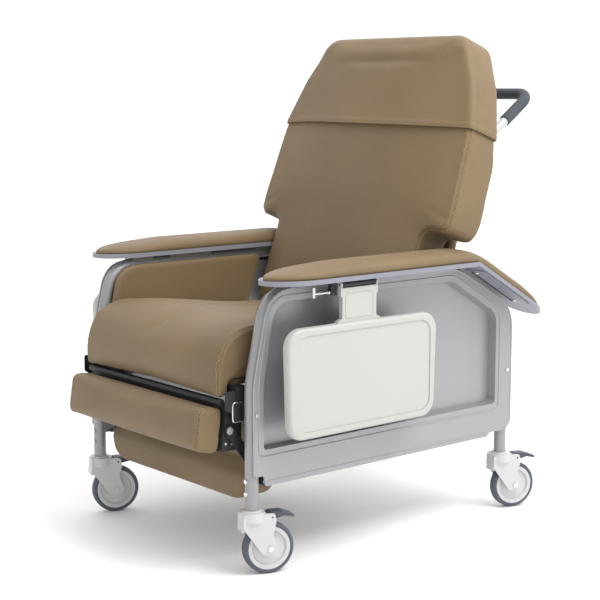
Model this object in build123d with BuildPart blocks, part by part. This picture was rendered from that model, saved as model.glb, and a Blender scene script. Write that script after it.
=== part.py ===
"""Patient recliner chair on four swivel casters, with fold-up side trays.

Millimetres, +Z up, the chair faces -Y and +X is the occupant's left.
The origin lies on the floor, under the middle of the chair's bounding box.
"""
import os
from math import cos, radians, sin

from build123d import *

os.makedirs("parts", exist_ok=True)

# ---------------------------------------------------------------- driving dimensions
FRONT_STEM_Y = -450.0           # front caster stems, from the origin
WHEELBASE = 854.0               # front stems to rear stems
TRACK = 659.0                   # left stem to right stem

TUBE_R = 16.0                   # side frame tube
TUBE_WALL = 2.0
LEG_FOOT_Z = 158.0              # lower end of the legs
ARM_TUBE_Z = 665.0              # centre of the top rail

WHEEL_R = 62.5                  # 125 mm casters
WHEEL_HALF = 14.0
CASTER_TRAIL = 39.5
CASTER_TURN = 18.8              # how far the casters are turned at rest, degrees
SWIVEL_TOP_Z = 157.0

SEAT_HALF = 289.0               # half width of the seat cushion
BAR_HALF = 284.0                # half width of the foot bar pad
CALF_HALF = 285.0               # half width of the calf pad

BACK_LEAN = 20.0                # backrest lean from vertical, degrees
BACK_THICK = 108.0
BACK_LOWER_HALF = 288.0         # between the armrests
BACK_WING_HALF = 383.0          # above the armrests
BACK_BOARD = 12.0
HANDLE_HALF = 275.0
HANDLE_R = 12.0
GRIP_R = 15.0

ARM_INNER_X = 290.0
ARM_OUTER_X = 424.0
ARM_BASE_Z = 686.0              # underside of the armrest base
ARM_BASE_THICK = 11.0
ARM_PAD_THICK = 31.0
ARM_FRONT = 15.0                # front tip, behind the front stems
ARM_BEND = 664.0                # where the armrest turns down
ARM_REAR = 935.0
ARM_SLOPE = 30.0
ARM_BEND_R = 80.0

PANEL_OUTER_X = 350.3
PANEL_SHEET = 4.0
PAN_DEPTH = 27.0

TRAY_OUTER_X = 420.0
TRAY_INNER_X = 394.0
TRAY_FRONT = 37.0
TRAY_WIDTH = 480.0
TRAY_TOP_Z = 587.0
TRAY_HEIGHT = 262.0
NECK_FRONT = 209.0
NECK_WIDTH = 108.0
TRAY_HINGE_X = 405.0
TRAY_HINGE_Z = 677.0

RUNNING = 0.06                  # radial running clearance of every hinge pin
SIDES = {"left": 1, "right": -1}


def fy(behind_front_stem):
    """Row-frame Y of a place measured backwards from the front caster stems."""
    return FRONT_STEM_Y + behind_front_stem


def yz(*places):
    """Places (behind the front stems, height) as points of a Plane.YZ sketch."""
    return [(fy(y), z) for y, z in places]


def save(builder, name):
    """Label a finished piece and write its STEP file."""
    builder.part.label = name
    export_step(builder.part, f"parts/{name}.step")


# Link mechanism: fixed pivots, and the planes in which the links move
BACK_PIVOT = (fy(585), 520.0)
LEG_PIVOT = (fy(75), 395.0)
LINK_PIVOT = (fy(62), 210.0)
BAR_PIVOT = (fy(-38), 345.0)
PIVOT_PIN_R = 6.0
RAIL_X = 308.5                  # inner face of the seat side rails
ARM_LINK_X = 299.5              # inner face of the leg rest arms
FOOT_LINK_X = 293.0
BAR_PLATE_X = 286.5
BACK_PLATE_X = 288.4
BACK_PLATE_THICK = 12.0
LINK_THICK = 5.0


def side_plate(x_inner, thickness, side):
    """Plane for a profile in Y, Z whose extrusion fills x_inner to x_inner + thickness."""
    return Plane.YZ.offset(x_inner if side > 0 else -x_inner - thickness)


# ---------------------------------------------------------------- side frames
TUBE_PATH = yz((0, LEG_FOOT_Z), (0, 455), (48, ARM_TUBE_Z), (658, ARM_TUBE_Z),
               (WHEELBASE, 551), (WHEELBASE, LEG_FOOT_Z))
TUBE_BENDS = [260, 78, 90, 92]

for label, side in SIDES.items():
    frame_x = side * TRACK / 2
    with BuildPart() as side_frame:
        with BuildLine(Plane.YZ.offset(frame_x)):
            FilletPolyline(*TUBE_PATH, radius=TUBE_BENDS)
        with BuildSketch(Plane(origin=(frame_x, fy(0), LEG_FOOT_Z), z_dir=(0, 0, 1))):
            Circle(TUBE_R)
            Circle(TUBE_R - TUBE_WALL, mode=Mode.SUBTRACT)
        sweep()
    save(side_frame, f"side_frame_{label}")

# Rear stretcher between the rear legs
with BuildPart() as rear_stretcher:
    with BuildSketch(Plane.YZ.offset(-TRACK / 2)):
        with Locations((fy(WHEELBASE), 330)):
            Circle(12.5)
            Circle(10.5, mode=Mode.SUBTRACT)
    extrude(amount=TRACK)
    # Ends coped to the legs
    with Locations((-TRACK / 2, fy(WHEELBASE), 330), (TRACK / 2, fy(WHEELBASE), 330)):
        Cylinder(TUBE_R, 60, mode=Mode.SUBTRACT)
save(rear_stretcher, "rear_stretcher")

# ---------------------------------------------------------------- seat structure
RAIL_THICK = 5.0

# Flat rails bolted to the insides of the legs, each with a lug for the back pivot
with BuildPart() as seat_side_rails:
    for side in SIDES.values():
        with BuildSketch(side_plate(RAIL_X, RAIL_THICK, side)):
            Polygon(*yz((-9, 372), (863, 372), (863, 412), (622, 412), (608, 540),
                        (562, 540), (548, 412), (-9, 412)), align=None)
            with Locations(BACK_PIVOT, LEG_PIVOT):
                Circle(PIVOT_PIN_R, mode=Mode.SUBTRACT)
        extrude(amount=RAIL_THICK)
save(seat_side_rails, "seat_side_rails")

# Cross members on which the seat board lies
SEAT_BOARD_Z = 448.0
with BuildPart() as seat_cross_members:
    for y_front, y_back in ((-26, 6), (250, 280), (440, 470)):
        with BuildSketch(Plane.YZ.offset(-RAIL_X)):
            Polygon(*yz((y_front, SEAT_BOARD_Z), (y_front, 429), (y_back, 429),
                        (y_back, SEAT_BOARD_Z)), align=None)
        extrude(amount=2 * RAIL_X)
    for side in SIDES.values():
        for y_middle in (-4, 265, 455):
            with BuildSketch(side_plate(RAIL_X - 3, 3, side)):
                with Locations((fy(y_middle), 415)):
                    Rectangle(20, 40)
            extrude(amount=3)
save(seat_cross_members, "seat_cross_members")

with BuildPart() as seat_board:
    with BuildSketch(Plane.XY.offset(SEAT_BOARD_Z)):
        with Locations((0, fy(228))):
            RectangleRounded(2 * SEAT_HALF - 16, 500, 20)
    extrude(amount=12)
save(seat_board, "seat_board")

# Cushion with a waterfall front that drops past the board
with BuildPart() as seat_cushion:
    with BuildSketch(Plane.YZ.offset(-SEAT_HALF)):
        with BuildLine():
            front = Spline(*yz((-63, 424), (-60, 505), (-30, 566), (40, 594)))
            top = Spline(front @ 1, *yz((250, 590), (497, 562)), tangents=[front % 1, (1, -0.12)])
            Polyline(top @ 1, *yz((489, 530), (487, 460.3), (-30, 460.3), (-30, 420)), front @ 0)
        make_face()
    extrude(amount=2 * SEAT_HALF)
    fillet(seat_cushion.faces().filter_by(Axis.X).edges().filter_by(
        lambda edge: edge.center().Z > 500 and edge.length > 60), 14)
save(seat_cushion, "seat_cushion")

# Upholstered pads that line the insides of the side frames
for label, side in SIDES.items():
    with BuildPart() as inner_side_pad:
        with BuildSketch(side_plate(294, 19, side)):
            with BuildLine():
                FilletPolyline(*yz((10, 462), (20, 520), (48, 668), (532, 668), (474, 505),
                                   (474, 462)), radius=[5, 200, 62, 12, 40, 5], close=True)
            make_face()
        extrude(amount=19)
        fillet(inner_side_pad.faces().sort_by(Axis.X)[0 if side > 0 else -1].edges(), 6)
    save(inner_side_pad, f"inner_side_pad_{label}")

# ---------------------------------------------------------------- moulded side panels
FLANGE_OUTLINE = yz((-10, 238), (-10, 455), (38, 674), (660, 674), (871, 556), (871, 240),
                    (850, 222), (790, 222), (780, 212), (26, 212), (20, 238))
FLANGE_BENDS = [6, 268, 84, 98, 104, 16, 12, 6, 6, 6, 5]
PAN_OUTLINE = yz((17, 296), (17, 455), (52, 647), (640, 647), (812, 545), (812, 296))
PAN_BENDS = [12, 240, 56, 60, 50, 14]

for label, side in SIDES.items():
    with BuildPart() as side_panel:
        with BuildSketch(side_plate(PANEL_OUTER_X - PANEL_SHEET, PANEL_SHEET, side)):
            with BuildLine():
                FilletPolyline(*FLANGE_OUTLINE, radius=FLANGE_BENDS, close=True)
            make_face()
        extrude(amount=PANEL_SHEET)
        # The pan is pressed inwards from the flange, with sloping walls
        outer_face = Plane(origin=(side * PANEL_OUTER_X, 0, 0), x_dir=(0, side, 0), z_dir=(side, 0, 0))
        inner_face = outer_face.offset(-PANEL_SHEET)
        for plane, inset, depth, mode in ((inner_face, 0, PAN_DEPTH - PANEL_SHEET, Mode.ADD),
                                          (outer_face, 3.6, PAN_DEPTH - 3.6, Mode.SUBTRACT)):
            with BuildSketch(plane):
                with BuildLine():
                    FilletPolyline(*[(side * y, z) for y, z in PAN_OUTLINE], radius=PAN_BENDS, close=True)
                make_face()
                if inset:
                    offset(amount=-inset)
            extrude(amount=-depth, taper=12, mode=mode)
        # Turned-in lip along the bottom edge
        with BuildSketch(side_plate(PANEL_OUTER_X - 16, 16, side)):
            with Locations((fy(400), 214)):
                Rectangle(720, 4)
        extrude(amount=16)
        # The pan's corners are relieved where the frame tube bends past them
        with BuildLine(Plane.YZ.offset(side * TRACK / 2)):
            FilletPolyline(*TUBE_PATH, radius=TUBE_BENDS)
        with BuildSketch(Plane(origin=(side * TRACK / 2, fy(0), LEG_FOOT_Z), z_dir=(0, 0, 1))):
            Circle(TUBE_R + 0.1)
        sweep(mode=Mode.SUBTRACT)
    save(side_panel, f"side_panel_{label}")

# ---------------------------------------------------------------- armrests
ARM_MID_X = (ARM_INNER_X + ARM_OUTER_X) / 2
ARM_DROP = (ARM_REAR + 40 - ARM_BEND) * sin(radians(ARM_SLOPE)) / cos(radians(ARM_SLOPE))


def arm_band(low, high):
    """Side view of a band that follows the armrest, low to high above its underside."""
    bottom = ARM_BASE_Z + low
    top = ARM_BASE_Z + high
    return yz((0, bottom), (ARM_BEND, bottom), (ARM_REAR + 40, bottom - ARM_DROP),
              (ARM_REAR + 40, top - ARM_DROP), (ARM_BEND, top), (0, top))


def arm_plan(side, inset):
    """Boat-shaped plan of an armrest."""
    half = (ARM_OUTER_X - ARM_INNER_X) / 2 - inset
    nose = fy(ARM_FRONT + inset)
    tail = fy(ARM_REAR - inset)
    mid = side * ARM_MID_X
    with BuildSketch() as plan:
        with BuildLine():
            nose_a = Spline((mid - half, nose + 105), (mid - 0.62 * half, nose + 20), (mid, nose),
                            tangents=[(0, -1), (1, 0)])
            nose_b = Spline(nose_a @ 1, (mid + 0.62 * half, nose + 20), (mid + half, nose + 105),
                            tangents=[(1, 0), (0, 1)])
            side_a = Line(nose_b @ 1, (mid + half, tail - 60))
            tail_a = Spline(side_a @ 1, (mid + 0.62 * half, tail - 12), (mid, tail),
                            tangents=[(0, 1), (-1, 0)])
            tail_b = Spline(tail_a @ 1, (mid - 0.62 * half, tail - 12), (mid - half, tail - 60),
                            tangents=[(-1, 0), (0, -1)])
            Line(tail_b @ 1, nose_a @ 0)
        make_face()
    return plan.sketch


ARM_LAYERS = {"armrest_base": (0, ARM_BASE_THICK, 0),
              "armrest_pad": (ARM_BASE_THICK + 0.2, ARM_BASE_THICK + ARM_PAD_THICK, 5)}
for label, side in SIDES.items():
    for piece, (low, high, inset) in ARM_LAYERS.items():
        with BuildPart() as arm_layer:
            with BuildSketch(side_plate(ARM_INNER_X, ARM_OUTER_X - ARM_INNER_X, side)):
                Polygon(*arm_band(low, high), align=None)
                fillet(vertices().filter_by_position(Axis.Y, fy(ARM_BEND) - 1, fy(ARM_BEND) + 1), ARM_BEND_R)
            extrude(amount=ARM_OUTER_X - ARM_INNER_X)
            with BuildSketch(Plane.XY.offset(400)):
                add(arm_plan(side, inset))
            extrude(amount=400, mode=Mode.INTERSECT)
        save(arm_layer, f"{piece}_{label}")

# Saddles between the top rail and the armrest base
with BuildPart() as armrest_saddles:
    for side in SIDES.values():
        for y_start, length in ((110, 60), (225, 140), (520, 60)):
            with BuildSketch(Plane.XZ.offset(-fy(y_start))):
                with Locations((side * TRACK / 2, 678)):
                    Rectangle(32, 15.8)
                with Locations((side * TRACK / 2, ARM_TUBE_Z)):
                    Circle(TUBE_R, mode=Mode.SUBTRACT)
            extrude(amount=-length)
save(armrest_saddles, "armrest_saddles")

# Plates under the sloping rear of each armrest
with BuildPart() as armrest_underplates:
    for side in SIDES.values():
        with BuildSketch(side_plate(352, 64, side)):
            start = ARM_BEND + 24
            length = 200
            run = length * cos(radians(ARM_SLOPE))
            fall = length * sin(radians(ARM_SLOPE))
            lead = (start - ARM_BEND) * fall / run
            Polygon(*yz((start, ARM_BASE_Z - lead - 0.2), (start + run, ARM_BASE_Z - lead - fall - 0.2),
                        (start + run, ARM_BASE_Z - lead - fall - 4), (start, ARM_BASE_Z - lead - 4)),
                    align=None)
        extrude(amount=64)
save(armrest_underplates, "armrest_underplates")

# ---------------------------------------------------------------- fold-up trays
HINGE_PIN_R = 3.0
EAR_R = 7.0
EAR_THICK = 5.0
BARREL_FRONT = NECK_FRONT + 0.6
BARREL_LENGTH = NECK_WIDTH - 1.2

for label, side in SIDES.items():
    with BuildPart() as flip_tray:
        board_z = TRAY_TOP_Z - TRAY_HEIGHT / 2
        board_y = fy(TRAY_FRONT + TRAY_WIDTH / 2)
        with BuildSketch(side_plate(TRAY_INNER_X, TRAY_OUTER_X - TRAY_INNER_X, side)):
            with BuildLine():
                top_half = TRAY_WIDTH / 2
                low_half = top_half - 8
                FilletPolyline((board_y - top_half, TRAY_TOP_Z), (board_y + top_half, TRAY_TOP_Z),
                               (board_y + low_half, TRAY_TOP_Z - TRAY_HEIGHT),
                               (board_y - low_half, TRAY_TOP_Z - TRAY_HEIGHT),
                               radius=[44, 44, 40, 40], close=True)
            make_face()
        extrude(amount=TRAY_OUTER_X - TRAY_INNER_X)
        rim_edges = flip_tray.faces().filter_by(Axis.X).edges()
        fillet(rim_edges, 8)
        # Sunk centre of the tray face, inside a raised rim
        tray_face = Plane(origin=(side * TRAY_OUTER_X, board_y, board_z), x_dir=(0, side, 0),
                          z_dir=(side, 0, 0))
        with BuildSketch(tray_face):
            RectangleRounded(TRAY_WIDTH - 48, TRAY_HEIGHT - 34, 34)
        extrude(amount=-2.5, mode=Mode.SUBTRACT)
        # Neck up to the hinge
        with BuildSketch(side_plate(TRAY_HINGE_X - 6, 12, side)):
            with BuildLine():
                neck_left = fy(NECK_FRONT)
                neck_right = fy(NECK_FRONT + NECK_WIDTH)
                FilletPolyline((neck_left - 24, TRAY_TOP_Z - 12), (neck_left - 12, TRAY_TOP_Z + 4),
                               (neck_left, TRAY_TOP_Z + 10), (neck_left, TRAY_HINGE_Z - 8),
                               (neck_right, TRAY_HINGE_Z - 8), (neck_right, TRAY_TOP_Z + 10),
                               (neck_right + 12, TRAY_TOP_Z + 4), (neck_right + 24, TRAY_TOP_Z - 12),
                               radius=2, close=True)
            make_face()
        extrude(amount=12)
        # Ears on the hinge pin
        for y_ear in (NECK_FRONT - EAR_THICK, NECK_FRONT + NECK_WIDTH):
            with BuildSketch(Plane.XZ.offset(-fy(y_ear))):
                with Locations((side * TRAY_HINGE_X, TRAY_HINGE_Z)):
                    Circle(EAR_R)
                with Locations((side * TRAY_HINGE_X, TRAY_HINGE_Z - 14)):
                    Rectangle(12, 28)
                with Locations((side * TRAY_HINGE_X, TRAY_HINGE_Z)):
                    Circle(HINGE_PIN_R + RUNNING, mode=Mode.SUBTRACT)
            extrude(amount=-EAR_THICK)
    save(flip_tray, f"flip_tray_{label}")

LATCH_X = 394.0
LATCH_Z = 660.0
LATCH_R = 3.0
GUIDE_FRONT = 184.0
GUIDE_LENGTH = 14.0

# Fixed hinge barrels, and the guides of the tray latches, hung from the armrest bases
with BuildPart() as tray_hinge_brackets:
    for side in SIDES.values():
        with BuildSketch(Plane.XZ.offset(-fy(BARREL_FRONT))):
            with Locations((side * TRAY_HINGE_X, TRAY_HINGE_Z)):
                Circle(EAR_R)
            with Locations((side * (TRAY_HINGE_X - 1.5), TRAY_HINGE_Z + 4.3)):
                Rectangle(11, 8.6)
            with Locations((side * TRAY_HINGE_X, TRAY_HINGE_Z)):
                Circle(HINGE_PIN_R, mode=Mode.SUBTRACT)
        extrude(amount=-BARREL_LENGTH)
        with BuildSketch(Plane.XZ.offset(-fy(GUIDE_FRONT))):
            with Locations((side * LATCH_X, (LATCH_Z - 6 + ARM_BASE_Z - 0.2) / 2)):
                Rectangle(11, ARM_BASE_Z - LATCH_Z + 5.8)
            with Locations((side * LATCH_X, LATCH_Z)):
                Circle(LATCH_R + RUNNING, mode=Mode.SUBTRACT)
        extrude(amount=-GUIDE_LENGTH)
save(tray_hinge_brackets, "tray_hinge_brackets")

# Spring latches: a sliding rod with a collar and a cross handle
for label, side in SIDES.items():
    with BuildPart() as tray_latch:
        for radius, y_start, length in ((LATCH_R, 134, 69), (5.0, 176, 5)):
            with BuildSketch(Plane.XZ.offset(-fy(y_start))):
                with Locations((side * LATCH_X, LATCH_Z)):
                    Circle(radius)
            extrude(amount=-length)
        with BuildSketch(Plane.XY.offset(LATCH_Z - 9)):
            with Locations((side * LATCH_X, fy(135))):
                Circle(3.6)
        extrude(amount=24)
    save(tray_latch, f"tray_latch_{label}")

# ---------------------------------------------------------------- backrest
LEAN = radians(BACK_LEAN)
UP_Y = sin(LEAN)
UP_Z = cos(LEAN)
BACK_FOOT = (fy(480), 500.0)    # where the cushion's front face would meet z = 500
BACK_PLANE = Plane(origin=(0, BACK_FOOT[0], BACK_FOOT[1]), x_dir=(1, 0, 0), z_dir=(0, -UP_Z, UP_Y))
BACK_BOTTOM = 45.0              # distances up the backrest, from BACK_FOOT
WING_BOTTOM = 296.0
HEM = 567.0

# Half outline of the cushion: (half width, distance up the backrest), with corner radii
BACK_RIGHT = [(BACK_LOWER_HALF, BACK_BOTTOM), (BACK_LOWER_HALF, WING_BOTTOM), (BACK_WING_HALF, WING_BOTTOM - 6),
              (BACK_WING_HALF + 2, 350), (371, HEM), (326, 700), (262, 822)]
BACK_RADII = [14, 26, 30, 200, 300, 200, 38]


def back_outline():
    """Closed outline of the backrest cushion."""
    left = [(-x, up) for x, up in reversed(BACK_RIGHT)]
    with BuildSketch() as outline:
        with BuildLine():
            FilletPolyline(*BACK_RIGHT, *left, radius=BACK_RADII + BACK_RADII[::-1], close=True)
        make_face()
    return outline.sketch


with BuildPart() as back_cushion:
    with BuildSketch(BACK_PLANE):
        add(back_outline())
    extrude(amount=-BACK_THICK)
    fillet(back_cushion.faces().sort_by(Axis.Y)[0].edges(), 12)
save(back_cushion, "back_cushion")

COVER = 3.0
with BuildPart() as headrest_cover:
    with BuildSketch(BACK_PLANE.offset(COVER + 0.2)):
        add(back_outline())
        offset(amount=COVER + 0.2)
    extrude(amount=-BACK_THICK - 2 * COVER - 0.4)
    with BuildSketch(BACK_PLANE.offset(0.2)):
        add(back_outline())
        offset(amount=0.2)
    extrude(amount=-BACK_THICK - 0.4, mode=Mode.SUBTRACT)
    with BuildSketch(BACK_PLANE.offset(50)):
        with Locations((0, HEM / 2)):
            Rectangle(1000, HEM)
    extrude(amount=-300, mode=Mode.SUBTRACT)
save(headrest_cover, "headrest_cover")

with BuildPart() as back_board:
    with BuildSketch(BACK_PLANE.offset(-BACK_THICK - 3.6)):
        with BuildLine():
            FilletPolyline((270, 58), (270, 320), (350, 350), (340, 560), (240, 790), (-240, 790),
                           (-340, 560), (-350, 350), (-270, 320), (-270, 58),
                           radius=[20, 20, 30, 60, 40, 40, 60, 30, 20, 20], close=True)
        make_face()
    extrude(amount=-BACK_BOARD)
save(back_board, "back_board")

# Posts behind the board, joined to the pivot plates
POST_R = 14.0
POST_DEPTH = BACK_THICK + 3.6 + BACK_BOARD + POST_R + 0.4


def behind_front(distance_up, depth):
    """Row-frame (Y, Z) of a place in the backrest, up it and behind its front face."""
    return (BACK_FOOT[0] + distance_up * UP_Y + depth * UP_Z,
            BACK_FOOT[1] + distance_up * UP_Z - depth * UP_Y)


POST_BOTTOM = 20.0
POST_TOP = 470.0
with BuildPart() as back_frame:
    post_y, post_z = behind_front(POST_BOTTOM, POST_DEPTH)
    for side in SIDES.values():
        with BuildSketch(Plane(origin=(side * HANDLE_HALF, post_y, post_z), z_dir=(0, UP_Y, UP_Z))):
            Circle(POST_R)
            Circle(HANDLE_R + 0.2, mode=Mode.SUBTRACT)
        extrude(amount=POST_TOP - POST_BOTTOM)
        with BuildSketch(side_plate(BACK_PLATE_X, BACK_PLATE_THICK, side)):
            Polygon(behind_front(88, 72), behind_front(100, POST_DEPTH + 12),
                    behind_front(22, POST_DEPTH + 12), behind_front(10, 88), align=None)
            with Locations(BACK_PIVOT):
                Circle(22)
                Circle(PIVOT_PIN_R + RUNNING, mode=Mode.SUBTRACT)
        extrude(amount=BACK_PLATE_THICK)
    for distance_up in (60, 420):
        cross_y, cross_z = behind_front(distance_up, POST_DEPTH)
        with BuildSketch(Plane.YZ.offset(-HANDLE_HALF + POST_R - 1)):
            with Locations((cross_y, cross_z)):
                Circle(10)
        extrude(amount=2 * (HANDLE_HALF - POST_R + 1))
save(back_frame, "back_frame")

# Push handle: a U of tube that telescopes into the posts
CROSSBAR = (fy(1010), 1116.0)
BEND = behind_front(548, POST_DEPTH)
HANDLE_FOOT = behind_front(390, POST_DEPTH)
HANDLE_POINTS = [(HANDLE_HALF, *HANDLE_FOOT), (HANDLE_HALF, *BEND), (HANDLE_HALF, *CROSSBAR),
                 (-HANDLE_HALF, *CROSSBAR), (-HANDLE_HALF, *BEND), (-HANDLE_HALF, *HANDLE_FOOT)]
with BuildPart() as push_handle:
    with BuildLine() as handle_line:
        FilletPolyline(*HANDLE_POINTS, radius=[60, 42, 42, 60])
    with BuildSketch(Plane(origin=handle_line.line @ 0, z_dir=handle_line.line % 0)):
        Circle(HANDLE_R)
        Circle(HANDLE_R - 1.8, mode=Mode.SUBTRACT)
    sweep()
save(push_handle, "push_handle")

ARM_RUN = ((CROSSBAR[0] - BEND[0]) ** 2 + (CROSSBAR[1] - BEND[1]) ** 2) ** 0.5
GRIP_START = 0.52               # where the grip ends on each arm, from bend to crossbar
GRIP_END = tuple(b + GRIP_START * (c - b) for b, c in zip(BEND, CROSSBAR))
with BuildPart() as handle_grip:
    with BuildLine() as grip_line:
        FilletPolyline((HANDLE_HALF, *GRIP_END), (HANDLE_HALF, *CROSSBAR), (-HANDLE_HALF, *CROSSBAR),
                       (-HANDLE_HALF, *GRIP_END), radius=42)
    with BuildSketch(Plane(origin=grip_line.line @ 0, z_dir=grip_line.line % 0)):
        Circle(GRIP_R)
        Circle(HANDLE_R + 0.1, mode=Mode.SUBTRACT)
    sweep()
save(handle_grip, "handle_grip")

# ---------------------------------------------------------------- leg rest
LINK_HALF = 13.0
BAR_SECTION = yz((-110, 402), (-44, 396), (-61, 290), (-127, 306))


def link_outline(start, end, pin_clearance):
    """Draw a straight link with round ends and a hole at each end in the current sketch."""
    middle = ((start[0] + end[0]) / 2, (start[1] + end[1]) / 2)
    span = ((end[0] - start[0]) ** 2 + (end[1] - start[1]) ** 2) ** 0.5
    turn = Vector(end[0] - start[0], end[1] - start[1]).get_signed_angle(Vector(1, 0), Vector(0, 0, -1))
    with Locations(Location((middle[0], middle[1], 0), (0, 0, turn))):
        SlotCenterToCenter(span, 2 * LINK_HALF)
    for place, clearance in zip((start, end), pin_clearance):
        with Locations(place):
            Circle(PIVOT_PIN_R + clearance, mode=Mode.SUBTRACT)


CALF_TUBE_R = 7.0
CALF_BOARD_Y = 66.0
CALF_BOARD_THICK = 8.0
with BuildPart() as leg_rest_arms:
    for side in SIDES.values():
        with BuildSketch(side_plate(ARM_LINK_X, LINK_THICK, side)):
            link_outline(LEG_PIVOT, LINK_PIVOT, (RUNNING, 0))
            with Locations((fy(81), 345), (fy(77), 250)):
                Circle(11)
        extrude(amount=LINK_THICK)
    for place in ((fy(81.5), 345), (fy(81.5), 250)):
        with BuildSketch(Plane.YZ.offset(-ARM_LINK_X - 1)):
            with Locations(place):
                Circle(CALF_TUBE_R)
        extrude(amount=2 * ARM_LINK_X + 2)
save(leg_rest_arms, "leg_rest_arms")

# Calf board and pad
CALF_TOP_Z = 373.0
CALF_BOTTOM_Z = 159.0
CALF_EDGE = 11.8                # thickness of the padding round the board's edge


def calf_outline(inset_by, top_z):
    """Front view of the calf rest, with its large rounded lower corners."""
    half = CALF_HALF - inset_by
    bottom = CALF_BOTTOM_Z + inset_by
    with BuildSketch() as outline:
        with BuildLine():
            FilletPolyline((-half, bottom), (half, bottom), (half, top_z), (-half, top_z),
                           radius=[76 - inset_by, 76 - inset_by, 8, 8], close=True)
        make_face()
    return outline.sketch


with BuildPart() as calf_board:
    with BuildSketch(Plane.XZ.offset(-fy(CALF_BOARD_Y))):
        add(calf_outline(12, CALF_TOP_Z - 12))
    extrude(amount=-CALF_BOARD_THICK)
save(calf_board, "calf_board")

# The pad is thicker towards the feet, and wraps back round the board's edge
with BuildPart() as calf_pad:
    with BuildSketch(Plane.YZ.offset(-CALF_HALF)):
        Polygon(*yz((34, CALF_TOP_Z), (34, 270), (18, 215), (18, CALF_BOTTOM_Z), (104, CALF_BOTTOM_Z),
                    (104, 300), (66, 336), (66, CALF_TOP_Z)), align=None)
    extrude(amount=2 * CALF_HALF)
    with BuildSketch(Plane.XZ.offset(-fy(0))):
        add(calf_outline(0, CALF_TOP_Z))
    extrude(amount=-120, mode=Mode.INTERSECT)
    with BuildSketch(Plane.XZ.offset(-fy(CALF_BOARD_Y - 0.2))):
        add(calf_outline(CALF_EDGE, CALF_TOP_Z + 60))
    extrude(amount=-60, mode=Mode.SUBTRACT)
    with BuildSketch(Plane.YZ.offset(-CALF_HALF - 1)):
        with Locations((fy(81.5), 250)):
            Circle(CALF_TUBE_R + 0.2)
    extrude(amount=2 * CALF_HALF + 2, mode=Mode.SUBTRACT)
save(calf_pad, "calf_pad")

with BuildPart() as foot_links:
    for side in SIDES.values():
        with BuildSketch(side_plate(FOOT_LINK_X, LINK_THICK, side)):
            link_outline(LINK_PIVOT, BAR_PIVOT, (RUNNING, 0))
        extrude(amount=LINK_THICK)
save(foot_links, "foot_links")

with BuildPart() as foot_bar_brackets:
    for side in SIDES.values():
        with BuildSketch(side_plate(BAR_PLATE_X, LINK_THICK, side)):
            with BuildLine():
                FilletPolyline(*yz((-41.5, 410), (-14, 404), (0, 384), (0, 312), (-14, 296), (-59.5, 296)),
                               radius=[2, 8, 8, 8, 8, 2], close=True)
            make_face()
            with Locations(BAR_PIVOT):
                Circle(PIVOT_PIN_R + RUNNING, mode=Mode.SUBTRACT)
        extrude(amount=LINK_THICK)
    # Channel plate along the back of the pad
    with BuildSketch(Plane.YZ.offset(-BAR_PLATE_X - 1)):
        Polygon(*yz((-41.3, 410), (-38.3, 410), (-56.4, 297), (-59.4, 297)), align=None)
    extrude(amount=2 * BAR_PLATE_X + 2)
save(foot_bar_brackets, "foot_bar_brackets")

with BuildPart() as foot_bar_pad:
    with BuildSketch(Plane.YZ.offset(-BAR_HALF)):
        Polygon(*BAR_SECTION, align=None)
        fillet(vertices(), 14)
    extrude(amount=2 * BAR_HALF)
    fillet(foot_bar_pad.faces().filter_by(Axis.X).edges(), 8)
save(foot_bar_pad, "foot_bar_pad")


def headed_pin(place, x_start, x_end, side, radius, head_radius, head):
    """Pin along X with a round head on its outer end."""
    with BuildPart() as pin:
        with BuildSketch(side_plate(x_start, x_end - x_start, side)):
            with Locations(place):
                Circle(radius)
        extrude(amount=x_end - x_start)
        with BuildSketch(side_plate(x_end, head, side)):
            with Locations(place):
                Circle(head_radius)
        extrude(amount=head)
    return pin.part


# Pins of the back pivots, the leg rest pivots and the tray hinges
with BuildPart() as hinge_pins:
    for side in SIDES.values():
        add(headed_pin(BACK_PIVOT, BACK_PLATE_X + 1, RAIL_X + RAIL_THICK, side, PIVOT_PIN_R, 10, 4))
        add(headed_pin(LEG_PIVOT, ARM_LINK_X - 1.5, RAIL_X + RAIL_THICK, side, PIVOT_PIN_R, 10, 4))
        with BuildSketch(Plane.XZ.offset(-fy(NECK_FRONT - EAR_THICK - 0.5))):
            with Locations((side * TRAY_HINGE_X, TRAY_HINGE_Z)):
                Circle(HINGE_PIN_R)
        extrude(amount=-NECK_WIDTH - 2 * EAR_THICK - 1)
save(hinge_pins, "hinge_pins")

with BuildPart() as foot_link_pins:
    for side in SIDES.values():
        add(headed_pin(LINK_PIVOT, FOOT_LINK_X - 1.2, ARM_LINK_X + LINK_THICK, side, PIVOT_PIN_R, 9, 3))
save(foot_link_pins, "foot_link_pins")

with BuildPart() as bar_pivot_pins:
    for side in SIDES.values():
        add(headed_pin(BAR_PIVOT, BAR_PLATE_X - 1.2, FOOT_LINK_X + LINK_THICK, side, PIVOT_PIN_R, 9, 1))
save(bar_pivot_pins, "bar_pivot_pins")

# Domed bolts through the legs: side rails, side panels and low corner brackets
BOLT_R = 5.5
with BuildPart() as frame_bolts:
    for side in SIDES.values():
        for y_bolt, z_bolt in ((0, 385), (WHEELBASE, 385)):
            for x_head in (PANEL_OUTER_X + 0.1, RAIL_X - 3.1):
                with BuildSketch(side_plate(x_head, 3, side)):
                    with Locations((fy(y_bolt), z_bolt)):
                        Circle(BOLT_R)
                extrude(amount=3)
        for z_bolt in (196, 226):
            with BuildSketch(Plane.XZ.offset(-fy(-TUBE_R - 3))):
                with Locations((side * TRACK / 2, z_bolt)):
                    Circle(BOLT_R)
            extrude(amount=-3)
save(frame_bolts, "frame_bolts")

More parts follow.
